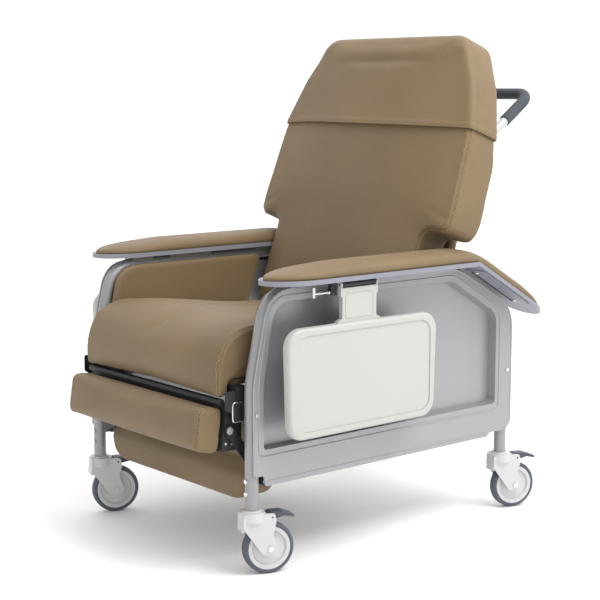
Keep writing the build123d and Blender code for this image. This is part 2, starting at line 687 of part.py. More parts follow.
# ---------------------------------------------------------------- casters
STEM_R = 6.0
SOCKET_R = TUBE_R - TUBE_WALL
AXLE_R = 4.0
ARM_GAP = WHEEL_HALF + 3.0      # inner face of the fork arms, from the wheel's mid plane
ARM_THICK = 5.0
PEDAL_PIVOT = (44.0, 139.0)     # along the trail, height
PEDAL_HALF = 15.0
TURN = radians(CASTER_TURN)
CORNERS = {"front_left": (1, 0), "front_right": (-1, 0),
           "rear_left": (1, WHEELBASE), "rear_right": (-1, WHEELBASE)}

with BuildPart() as caster_stems:
    for side, y_stem in CORNERS.values():
        with Locations((side * TRACK / 2, fy(y_stem), 0)):
            with Locations((0, 0, LEG_FOOT_Z + 22)):
                Cylinder(SOCKET_R, 44)
            with Locations((0, 0, 150)):
                Cylinder(STEM_R, 36)
            with Locations((0, 0, LEG_FOOT_Z - 0.2)):
                Cylinder(TUBE_R, 0.4)
save(caster_stems, "caster_stems")

for label, (side, y_stem) in CORNERS.items():
    stem_x = side * TRACK / 2
    stem_y = fy(y_stem)
    axle_dir = (cos(TURN), -sin(TURN), 0)
    # Sketch plane of the caster's side view: x along the trail, y up, normal along the axle
    side_view = Plane(origin=(stem_x, stem_y, 0), x_dir=(sin(TURN), cos(TURN), 0), z_dir=axle_dir)
    hub = (CASTER_TRAIL, WHEEL_R)

    with BuildPart() as caster_fork:
        with Locations((stem_x, stem_y, 0)):
            with Locations((0, 0, 141.5)):
                Cylinder(30, 23)
            with Locations((0, 0, 154.6)):
                Cylinder(24, 4.4)
        fillet(caster_fork.edges().filter_by(GeomType.CIRCLE).sort_by(Axis.Z)[-1], 3)
        for offset_v in (ARM_GAP, -ARM_GAP - ARM_THICK):
            with BuildSketch(side_view.offset(offset_v)):
                with BuildLine():
                    FilletPolyline((-27, 150), (-28, 118), (20, 50), (52, 46), (60, 66), (46, 96),
                                   (54, 128), (50, 148), radius=[4, 14, 12, 14, 10, 14, 8, 5], close=True)
                make_face()
            extrude(amount=ARM_THICK)
        # Hood that joins the arms over the wheel
        with BuildSketch(side_view.offset(-ARM_GAP - 1)):
            Polygon((-27, 150), (-30, 108), (-24, 108), (-22, 129), (30, 130), (30, 150), align=None)
        extrude(amount=2 * ARM_GAP + 2)
        with BuildSketch(side_view.offset(-40)):
            with Locations(hub):
                Circle(AXLE_R)
        extrude(amount=80, mode=Mode.SUBTRACT)
        with BuildSketch(side_view.offset(-40)):
            with Locations(PEDAL_PIVOT):
                Circle(2.5)
        extrude(amount=80, mode=Mode.SUBTRACT)
        with Locations((stem_x, stem_y, 143)):
            Cylinder(STEM_R + RUNNING, 40, mode=Mode.SUBTRACT)
    save(caster_fork, f"caster_fork_{label}")

    with BuildPart() as caster_axle:
        with BuildSketch(side_view.offset(-ARM_GAP - ARM_THICK)):
            with Locations(hub):
                Circle(AXLE_R)
        extrude(amount=2 * (ARM_GAP + ARM_THICK))
        for offset_v in (ARM_GAP + ARM_THICK, -ARM_GAP - ARM_THICK - 2.5):
            with BuildSketch(side_view.offset(offset_v)):
                with Locations(hub):
                    Circle(7)
            extrude(amount=2.5)
    save(caster_axle, f"caster_axle_{label}")

    # Wheel body and tyre are turned about the axle
    axle_plane = Plane(origin=side_view.from_local_coords((*hub, 0)), x_dir=(0, 0, 1), z_dir=side_view.x_dir)
    axle_axis = Axis(axle_plane.origin, axle_dir)
    spin_plane = Plane(origin=axle_plane.origin, x_dir=(0, 0, 1),
                       z_dir=Vector(0, 0, 1).cross(Vector(*axle_dir)))
    with BuildPart() as caster_wheel:
        with BuildSketch(spin_plane):
            with BuildLine():
                Polyline((AXLE_R + RUNNING, -15), (12, -15), (15, -9), (40, -7), (43, -12), (52, -12.5),
                         (52, 12.5), (43, 12), (40, 7), (15, 9), (12, 15), (AXLE_R + RUNNING, 15), close=True)
            make_face()
        revolve(axis=axle_axis)
    save(caster_wheel, f"caster_wheel_{label}")

    with BuildPart() as caster_tyre:
        with BuildSketch(spin_plane):
            with BuildLine():
                FilletPolyline((52.1, -12.5), (57, -WHEEL_HALF), (WHEEL_R, -8), (WHEEL_R, 8),
                               (57, WHEEL_HALF), (52.1, 12.5), radius=3, close=True)
            make_face()
        revolve(axis=axle_axis)
    save(caster_tyre, f"caster_tyre_{label}")

    with BuildPart() as caster_pedal:
        with BuildSketch(side_view.offset(-PEDAL_HALF)):
            with BuildLine():
                FilletPolyline((34, 144), (44, 150), (72, 149), (101, 139), (101, 133), (76, 138),
                               (52, 133), (36, 133), radius=[4, 6, 8, 2, 2, 8, 6, 3], close=True)
            make_face()
        extrude(amount=2 * PEDAL_HALF)
        with BuildSketch(side_view.offset(-ARM_GAP - ARM_THICK)):
            with Locations(PEDAL_PIVOT):
                Circle(2.5 - RUNNING)
        extrude(amount=2 * (ARM_GAP + ARM_THICK))
    save(caster_pedal, f"caster_pedal_{label}")
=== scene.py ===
from math import cos, pi, radians, sin

import bmesh
import bpy
import numpy as np
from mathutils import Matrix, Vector
from mathutils.bvhtree import BVHTree
from mathutils.kdtree import KDTree


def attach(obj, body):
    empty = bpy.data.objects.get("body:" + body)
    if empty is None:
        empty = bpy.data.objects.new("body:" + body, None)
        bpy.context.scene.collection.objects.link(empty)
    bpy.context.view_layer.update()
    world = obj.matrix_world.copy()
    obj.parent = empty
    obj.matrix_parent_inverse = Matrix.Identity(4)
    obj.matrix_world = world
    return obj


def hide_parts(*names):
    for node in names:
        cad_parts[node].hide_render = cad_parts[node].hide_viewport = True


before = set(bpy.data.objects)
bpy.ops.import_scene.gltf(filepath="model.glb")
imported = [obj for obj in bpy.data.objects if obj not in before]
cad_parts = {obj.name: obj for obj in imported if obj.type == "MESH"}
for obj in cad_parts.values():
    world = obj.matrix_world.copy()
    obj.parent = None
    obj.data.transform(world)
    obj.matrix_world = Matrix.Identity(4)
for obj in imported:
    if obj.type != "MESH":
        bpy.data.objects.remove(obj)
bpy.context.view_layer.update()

# Places are (X, distance behind the front caster stems, height) in mm until a mesh is made.
FRONT_STEM_Y = -450.0
LEAN = radians(20.0)
BACK_FOOT = (480.0, 500.0)
HEM_UP = 567.0
BACK_THICK = 108.0
SEAT_HALF = 289.0
BAR_HALF = 284.0


def to_world(points):
    """Chair millimetres to row-frame metres."""
    p = np.asarray(points, dtype=float).reshape(-1, 3).copy()
    p[:, 1] += FRONT_STEM_Y
    return p / 1000.0


def to_chair(points):
    """Row-frame metres to chair millimetres."""
    p = np.asarray(points, dtype=float).reshape(-1, 3) * 1000.0
    p[:, 1] -= FRONT_STEM_Y
    return p


# ---------------------------------------------------------------- materials
def srgb(r, g, b):
    return tuple(((c / 255 + 0.055) / 1.055) ** 2.4 if c > 10 else c / 255 / 12.92 for c in (r, g, b))


class Nodes:
    """Small builder for a material's node tree."""

    def __init__(self, name):
        self.mat = bpy.data.materials.new(name)
        self.mat.use_nodes = True
        self.tree = self.mat.node_tree
        self.tree.nodes.clear()
        self.out = self.add("ShaderNodeOutputMaterial")
        self.bsdf = self.add("ShaderNodeBsdfPrincipled")
        self.link(self.bsdf.outputs[0], self.out.inputs["Surface"])
        self.place = self.add("ShaderNodeTexCoord").outputs["Object"]

    def add(self, kind, **values):
        node = self.tree.nodes.new(kind)
        for key, value in values.items():
            setattr(node, key, value)
        return node

    def link(self, a, b):
        self.tree.links.new(a, b)

    def noise(self, scale, detail=4.0, rough=0.55, stretch=None):
        node = self.add("ShaderNodeTexNoise")
        node.inputs["Scale"].default_value = scale
        node.inputs["Detail"].default_value = detail
        node.inputs["Roughness"].default_value = rough
        self.link(self.stretched(stretch), node.inputs["Vector"])
        return node.outputs["Fac"]

    def stretched(self, stretch):
        if stretch is None:
            return self.place
        node = self.add("ShaderNodeMapping")
        node.inputs["Scale"].default_value = stretch
        self.link(self.place, node.inputs["Vector"])
        return node.outputs[0]

    def cells(self, scale, feature="F1"):
        node = self.add("ShaderNodeTexVoronoi", feature=feature)
        node.inputs["Scale"].default_value = scale
        self.link(self.place, node.inputs["Vector"])
        return node.outputs["Distance"]

    def ramp(self, fac, low, high, at=(0.3, 0.7)):
        node = self.add("ShaderNodeValToRGB")
        for element, place, value in zip(node.color_ramp.elements, at, (low, high)):
            element.position = place
            element.color = (*value, 1) if isinstance(value, tuple) else (value, value, value, 1)
        self.link(fac, node.inputs[0])
        return node.outputs[0]

    def mix(self, fac, a, b, mode="MIX"):
        node = self.add("ShaderNodeMix", data_type="RGBA", blend_type=mode)
        for socket, value in ((node.inputs[0], fac), (node.inputs[6], a), (node.inputs[7], b)):
            if isinstance(value, (int, float)):
                socket.default_value = value
            elif isinstance(value, tuple):
                socket.default_value = (*value, 1)
            else:
                self.link(value, socket)
        return node.outputs[2]

    def span(self, fac, low, high, start=0.3, end=0.7):
        node = self.add("ShaderNodeMapRange")
        for key, value in (("From Min", start), ("From Max", end), ("To Min", low), ("To Max", high)):
            node.inputs[key].default_value = value
        self.link(fac, node.inputs["Value"])
        return node.outputs[0]

    def bumps(self, *layers):
        """layers are (height, distance in metres, strength), finest last."""
        normal = None
        for height, distance, strength in layers:
            node = self.add("ShaderNodeBump")
            node.inputs["Distance"].default_value = distance
            node.inputs["Strength"].default_value = strength
            self.link(height, node.inputs["Height"])
            if normal:
                self.link(normal, node.inputs["Normal"])
            normal = node.outputs[0]
        self.link(normal, self.bsdf.inputs["Normal"])

    def set(self, **values):
        for key, value in values.items():
            self.bsdf.inputs[key.replace("_", " ")].default_value = value


def vinyl(name, tone, dark=0.86, light=1.08, rough=(0.50, 0.62)):
    """Upholstery vinyl: pebble grain, broad tone drift, rubbed high places, painted shade in the folds."""
    n = Nodes(name)
    low = tuple(c * dark for c in tone)
    high = tuple(min(1.0, c * light) for c in tone)
    drift = n.mix(n.ramp(n.noise(3.2, 5), 0.0, 1.0, (0.35, 0.68)), low, high)
    grain = n.cells(620, "DISTANCE_TO_EDGE")
    pits = n.ramp(grain, tuple(c * 0.80 for c in tone), high, (0.0, 0.16))
    colour = n.mix(0.22, drift, pits)
    geometry = n.add("ShaderNodeNewGeometry")
    # Painted shade: the vinyl drops to 55 % of its tone in hollows and folds, where shade falls.
    painted_crease_shade = n.ramp(geometry.outputs["Pointiness"], 0.0, 1.0, (0.44, 0.495))
    colour = n.mix(painted_crease_shade, tuple(c * 0.55 for c in tone), colour)
    rubbed = n.ramp(geometry.outputs["Pointiness"], 0.0, 0.35, (0.52, 0.60))
    colour = n.mix(rubbed, colour, tuple(min(1.0, c * 1.25) for c in tone))
    n.link(colour, n.bsdf.inputs["Base Color"])
    n.link(n.span(n.noise(26, 6), *rough), n.bsdf.inputs["Roughness"])
    n.bumps((n.noise(38, 4, 0.6), 0.0012, 0.22), (grain, 0.00045, 0.40), (n.noise(1500, 2), 0.0002, 0.25))
    n.set(Specular_IOR_Level=0.33, Sheen_Weight=0.06, Sheen_Roughness=0.5)
    return n.mat


def moulded(name, tone, rough=(0.34, 0.46), grain=900.0, bump=0.22, drift=0.05, specular=0.45, coat=0.0,
            metal=0.0):
    """Moulded or painted surface: fine texture, slow tone drift, faint scuffs."""
    n = Nodes(name)
    low = tuple(c * (1 - drift) for c in tone)
    high = tuple(min(1.0, c * (1 + drift)) for c in tone)
    colour = n.mix(n.noise(4.5, 5), low, high)
    scuff = n.ramp(n.noise(70, 8, 0.7, (1, 1, 0.18)), 0.0, 0.30, (0.62, 0.74))
    colour = n.mix(scuff, colour, tuple(c * 0.86 for c in tone))
    n.link(colour, n.bsdf.inputs["Base Color"])
    n.link(n.span(n.noise(34, 7, 0.65), *rough), n.bsdf.inputs["Roughness"])
    n.bumps((n.noise(16, 3), 0.0012, 0.12), (n.noise(grain, 3, 0.6), 0.00025, bump))
    n.set(Specular_IOR_Level=specular, Coat_Weight=coat, Coat_Roughness=0.18, Metallic=metal)
    return n.mat


def steel(name, tone, rough, stretch):
    """Bright plated steel with drawn-wire scratches."""
    n = Nodes(name)
    lines = n.noise(240, 5, 0.7, stretch)
    n.link(n.mix(lines, tuple(c * 0.82 for c in tone), tone), n.bsdf.inputs["Base Color"])
    n.link(n.span(lines, *rough), n.bsdf.inputs["Roughness"])
    n.bumps((lines, 0.0002, 0.25))
    n.set(Metallic=1.0)
    return n.mat


def foam(name, tone):
    """Closed-cell foam grip: fine open skin cells."""
    n = Nodes(name)
    cells = n.cells(900)
    dark, light = (tuple(c * shade for c in tone) for shade in (0.7, 1.3))
    n.link(n.mix(cells, dark, light), n.bsdf.inputs["Base Color"])
    n.link(n.span(n.noise(90, 5), 0.62, 0.84), n.bsdf.inputs["Roughness"])
    n.bumps((n.noise(60, 4), 0.0008, 0.3), (cells, 0.0005, 0.6))
    n.set(Specular_IOR_Level=0.3)
    return n.mat


def ply(name):
    n = Nodes(name)
    rings = n.noise(30, 8, 0.6, (0.15, 1.0, 3.0))
    n.link(n.ramp(rings, srgb(58, 46, 36), srgb(104, 84, 62)), n.bsdf.inputs["Base Color"])
    n.link(n.span(rings, 0.6, 0.8), n.bsdf.inputs["Roughness"])
    n.bumps((rings, 0.0006, 0.4))
    return n.mat


VINYL = srgb(119, 100, 72)
MATERIALS = {
    "upholstery": vinyl("upholstery", VINYL),
    "frame_paint": moulded("frame_paint", srgb(146, 147, 148), (0.30, 0.42), 650, 0.28, 0.03,
                           specular=0.5, coat=0.15, metal=0.25),
    "side_panel_plastic": moulded("side_panel_plastic", srgb(153, 154, 156), (0.30, 0.42), 1100, 0.3, 0.04,
                                  specular=0.5, metal=0.4),
    "armrest_plastic": moulded("armrest_plastic", srgb(132, 133, 142), (0.36, 0.48), 1000, 0.3, 0.04),
    "tray_plastic": moulded("tray_plastic", srgb(178, 179, 173), (0.38, 0.5), 1200, 0.3, 0.02),
    "black_steel": moulded("black_steel", srgb(30, 33, 36), (0.42, 0.6), 700, 0.35, 0.2),
    "back_shell": vinyl("back_shell", srgb(98, 83, 62), rough=(0.5, 0.62)),
    "plywood": ply("plywood"),
    "handle_paint": moulded("handle_paint", srgb(184, 185, 184), (0.26, 0.36), 650, 0.25, 0.02, 0.5, 0.2),
    "grip_foam": foam("grip_foam", srgb(70, 74, 80)),
    "bright_steel": steel("bright_steel", (0.72, 0.73, 0.75), (0.16, 0.34), (1, 1, 0.1)),
    "caster_white": moulded("caster_white", srgb(194, 195, 195), (0.32, 0.44), 900, 0.2, 0.03),
    "tyre_grey": moulded("tyre_grey", srgb(84, 88, 98), (0.55, 0.7), 800, 0.4, 0.1, 0.3),
    "pedal_plastic": moulded("pedal_plastic", srgb(66, 72, 84), (0.4, 0.52), 900, 0.3, 0.08),
}
THREAD = moulded("thread", srgb(158, 139, 111), (0.6, 0.75), 2600, 0.6, 0.1, 0.3)

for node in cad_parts.values():
    for slot in node.material_slots:
        slot.material = MATERIALS[slot.material.name.split(".")[0]]


# ---------------------------------------------------------------- closed forms
def rounded(points, radii, steps=9):
    """Polygon with each corner turned into a smooth curve."""
    out = []
    count = len(points)
    for i, radius in enumerate(radii):
        p, before, after = (np.array(points[k % count], float) for k in (i, i - 1, i + 1))
        u, v = before - p, after - p
        lu, lv = np.linalg.norm(u), np.linalg.norm(v)
        u, v = u / lu, v / lv
        half = np.arccos(np.clip(u @ v, -0.9999, 0.9999)) / 2
        reach = min(radius / np.tan(half), 0.48 * lu, 0.48 * lv)
        for t in np.linspace(0, 1, steps):
            out.append((1 - t) ** 2 * (p + u * reach) + 2 * t * (1 - t) * p + t * t * (p + v * reach))
    return np.array(out)


def spaced(path, step, closed=True):
    """Points at even steps along a path."""
    p = np.vstack([path, path[:1]]) if closed else np.asarray(path, float)
    run = np.concatenate([[0], np.cumsum(np.linalg.norm(np.diff(p, axis=0), axis=1))])
    count = max(8, int(round(run[-1] / step)))
    at = np.linspace(0, run[-1], count + (0 if closed else 1), endpoint=not closed)
    return np.stack([np.interp(at, run, p[:, k]) for k in range(p.shape[1])], axis=1)


def inset(outline, amount):
    """Closed outline moved inwards, for outlines that run counter-clockwise."""
    ahead = np.roll(outline, -1, 0) - np.roll(outline, 1, 0)
    ahead /= np.maximum(np.linalg.norm(ahead, axis=1, keepdims=True), 1e-9)
    return outline + amount * np.stack([-ahead[:, 1], ahead[:, 0]], axis=1)


def lofted(name, outline, low, high, r_low, r_high, place):
    """Closed form between two levels of an outline, its ends rounded.

    place(a, b, w) gives chair millimetres.
    """
    levels = []
    for end, radius, sign in ((low, r_low, 1), (high, r_high, -1)):
        turn = np.linspace(0, pi / 2, 7)
        part = [(end + sign * radius * (1 - cos(t)), radius * (1 - sin(t))) for t in turn]
        levels += part if sign > 0 else part[::-1]
    rows = [(w, inset(outline, d)) for w, d in levels]
    mesh = bmesh.new()
    rings = [[mesh.verts.new(p) for p in to_world(place(row[:, 0], row[:, 1], np.full(len(row), w)))]
             for w, row in rows]
    for a, b in zip(rings, rings[1:]):
        for i in range(len(a)):
            j = (i + 1) % len(a)
            mesh.faces.new((a[i], a[j], b[j], b[i]))
    mesh.faces.new(rings[0][::-1])
    mesh.faces.new(rings[-1])
    bmesh.ops.triangulate(mesh, faces=[f for f in mesh.faces if len(f.verts) > 4])
    bmesh.ops.recalc_face_normals(mesh, faces=mesh.faces)
    return from_bmesh(name, mesh)


def from_bmesh(name, mesh, material=None, smooth=True):
    data = bpy.data.meshes.new(name)
    mesh.to_mesh(data)
    mesh.free()
    data.shade_smooth() if smooth else data.shade_flat()
    obj = bpy.data.objects.new(name, data)
    bpy.context.scene.collection.objects.link(obj)
    if material:
        data.materials.append(material)
    return obj


def applied(obj):
    """Turn the object's modifiers into its mesh."""
    graph = bpy.context.evaluated_depsgraph_get()
    data = bpy.data.meshes.new_from_object(obj.evaluated_get(graph))
    old = obj.data
    obj.modifiers.clear()
    obj.data = data
    bpy.data.meshes.remove(old)
    data.shade_smooth()


def remeshed(obj, voxel):
    step = obj.modifiers.new("remesh", "REMESH")
    step.mode = "VOXEL"
    step.voxel_size = voxel
    applied(obj)


def smoothed(obj, rounds, factor=0.5):
    step = obj.modifiers.new("smooth", "SMOOTH")
    step.factor = factor
    step.iterations = rounds
    applied(obj)


def subdivided(obj):
    step = obj.modifiers.new("subdivision", "SUBSURF")
    step.levels = step.render_levels = 1
    applied(obj)


def coords(obj):
    flat = np.empty(len(obj.data.vertices) * 3)
    obj.data.vertices.foreach_get("co", flat)
    return flat.reshape(-1, 3)


def normals(obj):
    flat = np.empty(len(obj.data.vertices) * 3)
    obj.data.vertices.foreach_get("normal", flat)
    return flat.reshape(-1, 3)


def set_coords(obj, points):
    obj.data.vertices.foreach_set("co", np.ascontiguousarray(points).ravel())
    obj.data.update()


def reshape(obj, rule):
    """rule(x, y, z in chair mm) gives each vertex's outward push in mm."""
    p = coords(obj)
    q = to_chair(p)
    set_coords(obj, p + normals(obj) * (rule(q[:, 0], q[:, 1], q[:, 2]) / 1000)[:, None])


def near(path, points):
    """Distance in mm from each point (metres) to a path (metres)."""
    tree = KDTree(len(path))
    for i, p in enumerate(path):
        tree.insert(p, i)
    tree.balance()
    return np.array([tree.find(p)[2] for p in points]) * 1000


def plump(obj, pressure, cap, held=None, stiff=18.0, frames=20):
    """Cloth swells under inner pressure; held paths (metres) stay, and no point moves over cap mm."""
    start = coords(obj).copy()
    cloth = obj.modifiers.new("cloth", "CLOTH")
    settings = cloth.settings
    settings.quality = 4
    settings.mass = 0.4
    settings.tension_stiffness = settings.compression_stiffness = stiff
    settings.shear_stiffness = stiff * 0.6
    settings.bending_stiffness = 1.2
    settings.air_damping = 3.0
    settings.use_pressure = True
    settings.uniform_pressure_force = pressure
    settings.effector_weights.gravity = 0.0
    cloth.collision_settings.use_collision = False
    if held is not None:
        group = obj.vertex_groups.new(name="held")
        strength = np.clip(1.25 - held / 9.0, 0, 1)
        for i in np.nonzero(strength > 0.02)[0]:
            group.add([int(i)], float(strength[i]), "REPLACE")
        settings.vertex_group_mass = "held"
    scene = bpy.context.scene
    scene.frame_start, scene.frame_end = 1, frames
    cloth.point_cache.frame_start, cloth.point_cache.frame_end = 1, frames
    for number in range(1, frames + 1):
        scene.frame_set(number)
    applied(obj)
    scene.frame_set(1)
    obj.vertex_groups.clear()
    moved = coords(obj) - start
    length = np.linalg.norm(moved, axis=1, keepdims=True)
    limit = cap / 1000
    eased = limit * np.tanh(length / limit)
    set_coords(obj, start + moved * eased / np.maximum(length, 1e-9))


# ---------------------------------------------------------------- seams and stitching
def surface_tree(obj):
    return BVHTree.FromPolygons([v.co for v in obj.data.vertices], [p.vertices for p in obj.data.polygons])


def snapped(obj, path, step=4.0, closed=False):
    """Path (metres) laid on the object's surface: points, normals."""
    even = spaced(np.asarray(path) * 1000, step, closed) / 1000
    tree = surface_tree(obj)
    found = [tree.find_nearest(Vector(p)) for p in even]
    return np.array([f[0] for f in found]), np.array([f[1] for f in found])


def seam(obj, path, depth=2.0, width=3.2, puff=0.7, pucker=0.0, closed=False):
    """Sink a sewn line into the object, with the vinyl puffed up and puckered beside it."""
    on, _ = snapped(obj, path, 3.0, closed)
    p = coords(obj)
    d = near(on, p)
    push = -depth * np.exp(-(d / width) ** 2) + puff * np.exp(-((d - 2.6 * width) / (1.4 * width)) ** 2)
    if pucker:
        q = to_chair(p)
        wave = np.sin(q[:, 2] / 6.1 + 1.7 * np.sin(q[:, 0] / 23)) * np.sin(q[:, 1] / 7.3 + q[:, 0] / 9.7)
        push += pucker * wave * np.exp(-(d / 15) ** 2)
    set_coords(obj, p + normals(obj) * (push / 1000)[:, None])


def stitches(name, obj, paths, body, offsets=(-4.2, 4.2), pitch=5.2, length=3.4, closed=False):
    """Rows of raised thread beside each seam, as one piece."""
    mesh = bmesh.new()
    for path in paths:
        on, up = snapped(obj, path, pitch, closed)
        ahead = np.gradient(on, axis=0)
        ahead /= np.linalg.norm(ahead, axis=1, keepdims=True)
        side = np.cross(up, ahead)
        tree = surface_tree(obj)
        for offset_mm in offsets:
            for i in range(2, len(on) - 2):
                at, n, _, _ = tree.find_nearest(Vector(on[i] + side[i] * offset_mm / 1000))
                thread(mesh, at + n * 0.00025, Vector(ahead[i]), n, length / 1000, 0.0007)
    obj = from_bmesh(name, mesh, THREAD)
    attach(obj, body)
    return obj


def thread(mesh, at, ahead, up, length, radius):
    """One stitch: a spindle that dips into the vinyl at both ends."""
    side = ahead.cross(up).normalized()
    rings = []
    for t, r, lift in ((-0.5, 0.35, -1.2), (-0.28, 0.95, -0.1), (0.0, 1.1, 0.35), (0.28, 0.95, -0.1),
                       (0.5, 0.35, -1.2)):
        centre = at + ahead * (t * length) + up * (lift * radius)
        rings.append([mesh.verts.new(centre + side * (r * radius * cos(a)) + up * (r * radius * sin(a)))
                      for a in (k * pi / 3 for k in range(6))])
    for a, b in zip(rings, rings[1:]):
        for i in range(6):
            mesh.faces.new((a[i], a[(i + 1) % 6], b[(i + 1) % 6], b[i]))
    mesh.faces.new(rings[0][::-1])
    mesh.faces.new(rings[-1])


def soft(obj, body, *nodes, fill=0.7):
    obj.data.materials.clear()
    obj.data.materials.append(MATERIALS["upholstery"])
    obj.data.shade_smooth()
    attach(obj, body)
    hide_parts(*nodes)


def spline_path(points, step=4.0):
    """Smooth open path through points."""
    p = np.asarray(points, float)
    padded = np.vstack([2 * p[0] - p[1], p, 2 * p[-1] - p[-2]])
    out = []
    for a, b, c, d in zip(padded, padded[1:], padded[2:], padded[3:]):
        for t in np.linspace(0, 1, 12, endpoint=False):
            out.append(0.5 * (2 * b + (c - a) * t + (2 * a - 5 * b + 4 * c - d) * t ** 2
                              + (3 * b - a - 3 * c + d) * t ** 3))
    return spaced(np.array(out + [p[-1]]), step, closed=False)


def across(a, b, w):
    """Loft place for a side-view outline: a behind, b up, w across."""
    return np.stack([w, a, b], axis=1)


def bell(x, centre, width):
    return np.exp(-((x - centre) / width) ** 2)


# ---------------------------------------------------------------- seat
SEAT_TOP_LINE = [(-33, 424), (-50, 421), (-62, 427), (-66, 458), (-61, 497), (-48, 534), (-24, 562),
                 (12, 578), (60, 583), (120, 577), (220, 562), (330, 549)]
SEAT_SIDE = np.vstack([
    spline_path(SEAT_TOP_LINE + [(490, 536)]),
    [(487, 510), (486, 461), (300, 461), (60, 461), (-24, 461), (-32, 448)]])
SEAT_SIDE = spaced(SEAT_SIDE, 6.0)[::-1]

seat = lofted("seat_cushion_vinyl", SEAT_SIDE, -SEAT_HALF + 2, SEAT_HALF - 2, 9, 9, across)
remeshed(seat, 0.007)


def seat_crown(x, y, z):
    middle = 1 - (np.abs(x) / SEAT_HALF) ** 2.6
    top = np.clip((z - 470) / 90, 0, 1)
    front = np.clip((10 - y) / 60, 0, 1) * np.clip((z - 430) / 60, 0, 1)
    crown = 7 * top * np.clip((420 - y) / 200, 0.2, 1)
    return middle * (crown + 4 * front * (1 - top) - 4 * bell(y, 330, 140) * top) - 2 * top


seat_edges = []
for side in (-1, 1):
    edge = spline_path(SEAT_TOP_LINE + [(485, 537)])
    seat_edges.append(to_world(np.column_stack([np.full(len(edge), side * (SEAT_HALF - 4)), edge])))
reshape(seat, seat_crown)
under = to_chair(coords(seat))
held = np.minimum.reduce([near(e, coords(seat)) for e in seat_edges]
                         + [np.where((under[:, 2] < 464) & (under[:, 1] > -20), 0.0, 99.0)])
plump(seat, 3.2, 22, held)
smoothed(seat, 3)
subdivided(seat)
for edge in seat_edges:
    seam(seat, edge, depth=2.2, width=3.4, puff=0.9, pucker=0.25)
soft(seat, "base", "seat_cushion", fill=0.8)
stitches("seat_stitching", seat, [e[:int(len(e) * 0.45)] for e in seat_edges], "base")


# ---------------------------------------------------------------- backrest
def on_back(a, b, w):
    """Loft place for the backrest: a across, b up it, w behind its front face."""
    y = BACK_FOOT[0] + b * sin(LEAN) + w * cos(LEAN)
    z = BACK_FOOT[1] + b * cos(LEAN) - w * sin(LEAN)
    return np.stack([a, y, z], axis=1)


def back_frame_of(x, y, z):
    """Chair mm to (distance up the backrest, depth behind its front face)."""
    dy, dz = y - BACK_FOOT[0], z - BACK_FOOT[1]
    return dy * sin(LEAN) + dz * cos(LEAN), dy * cos(LEAN) - dz * sin(LEAN)


BACK_RIGHT = [(286, 47), (286, 302), (378, 292), (381, 352), (369, 567), (324, 700), (258, 818)]
BACK_RADII = [16, 58, 36, 200, 300, 200, 52]
BACK_LOOP = rounded(BACK_RIGHT + [(-a, b) for a, b in reversed(BACK_RIGHT)], BACK_RADII + BACK_RADII[::-1])
BACK_LOOP = spaced(BACK_LOOP, 6.0)

back = lofted("back_cushion_vinyl", BACK_LOOP, 3, BACK_THICK - 1, 20, 10, on_back)
remeshed(back, 0.007)


def back_crown(x, y, z):
    up, deep = back_frame_of(x, y, z)
    front = np.clip(1 - deep / 40, 0, 1)
    middle = np.clip(1 - (np.abs(x) / 370) ** 3, 0, 1)
    return front * middle * (5 * bell(up, 420, 320) + 4 * bell(up, 160, 120) + 6 * bell(up, 784, 22)
                             - 10 * bell(up, 744, 15) * np.clip(1 - (np.abs(x) / 230) ** 4, 0, 1))


reshape(back, back_crown)
p = to_chair(coords(back))
up, deep = back_frame_of(*p.T)
outer = np.clip((np.abs(p[:, 0]) - 330) / 28, 0, 1)
beyond = np.clip(np.abs(up - 420) - 70, 0, None)
wrap = 17 * outer * np.clip((deep - 40) / 60, 0, 1) * np.exp(-beyond ** 2 / 2600)
droop = 5 * np.clip((np.abs(p[:, 0]) - 296) / 40, 0, 1) * np.clip(deep / 100, 0, 1) * bell(up, 292, 32)
p += np.outer(wrap, (0, cos(LEAN), -sin(LEAN))) - np.outer(droop, (0, sin(LEAN), cos(LEAN)))
set_coords(back, to_world(p))
SEWN_LOOP = inset(BACK_LOOP, 2)
back_edge = to_world(on_back(SEWN_LOOP[:, 0], SEWN_LOOP[:, 1], np.full(len(BACK_LOOP), 10.0)))
rear_edge = to_world(on_back(BACK_LOOP[:, 0], BACK_LOOP[:, 1], np.full(len(BACK_LOOP), BACK_THICK - 6)))
here = to_chair(coords(back))
behind = np.where(back_frame_of(*here.T)[1] > BACK_THICK - 4, 0.0, 99.0)
held = np.minimum.reduce([near(back_edge, coords(back)), near(rear_edge, coords(back)), behind])
plump(back, 4.0, 22, held)
smoothed(back, 3)
subdivided(back)

# Slip cover over the headrest, taken from the cushion's own shape
cover_mesh = bmesh.new()
cover_mesh.from_mesh(back.data)
hem_at = Vector(to_world(on_back(np.array([0.0]), np.array([HEM_UP]), np.array([0.0])))[0])
bmesh.ops.bisect_plane(cover_mesh, geom=cover_mesh.verts[:] + cover_mesh.edges[:] + cover_mesh.faces[:],
                       plane_co=hem_at, plane_no=Vector((0, -sin(LEAN), -cos(LEAN))), clear_outer=True)
cover = from_bmesh("headrest_cover_vinyl", cover_mesh)


def cover_loose(x, y, z):
    up, deep = back_frame_of(x, y, z)
    front = np.clip(1 - deep / 30, 0, 1)
    above = up - HEM_UP
    middle = np.clip(1 - (np.abs(x - 30) / 330) ** 2, 0, 1)
    return 4.2 + front * 5.5 * np.exp(-np.clip(above, 0, None) / 26) * middle + 1.2 * bell(above, 9, 5)


